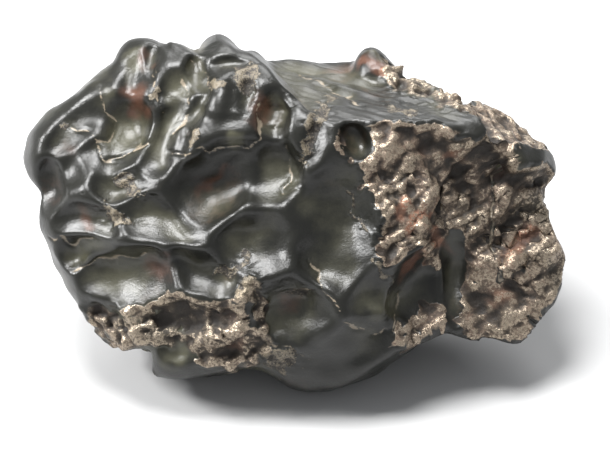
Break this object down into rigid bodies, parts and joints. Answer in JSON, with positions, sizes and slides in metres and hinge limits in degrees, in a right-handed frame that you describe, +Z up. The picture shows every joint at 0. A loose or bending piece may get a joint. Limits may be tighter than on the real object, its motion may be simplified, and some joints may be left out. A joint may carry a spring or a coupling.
{
  "type": "meteorite",
  "caption": "Iron meteorite: a solid lump of nickel-iron with thumb-print hollows and a broken end, resting on a small worn flat.",
  "frame": {"origin": "middle of the bounding box, on the plane it rests on", "axes": "+X along the longest side, +Z up as it rests, -Y towards the hollowed face"},
  "size_m": [0.1192, 0.0646, 0.0687],
  "materials": {
    "crust": "dark fusion crust, satin to glossy"
  },
  "bodies": {
    "root": {"meteorite": "crust"}
  },
  "joints": []
}
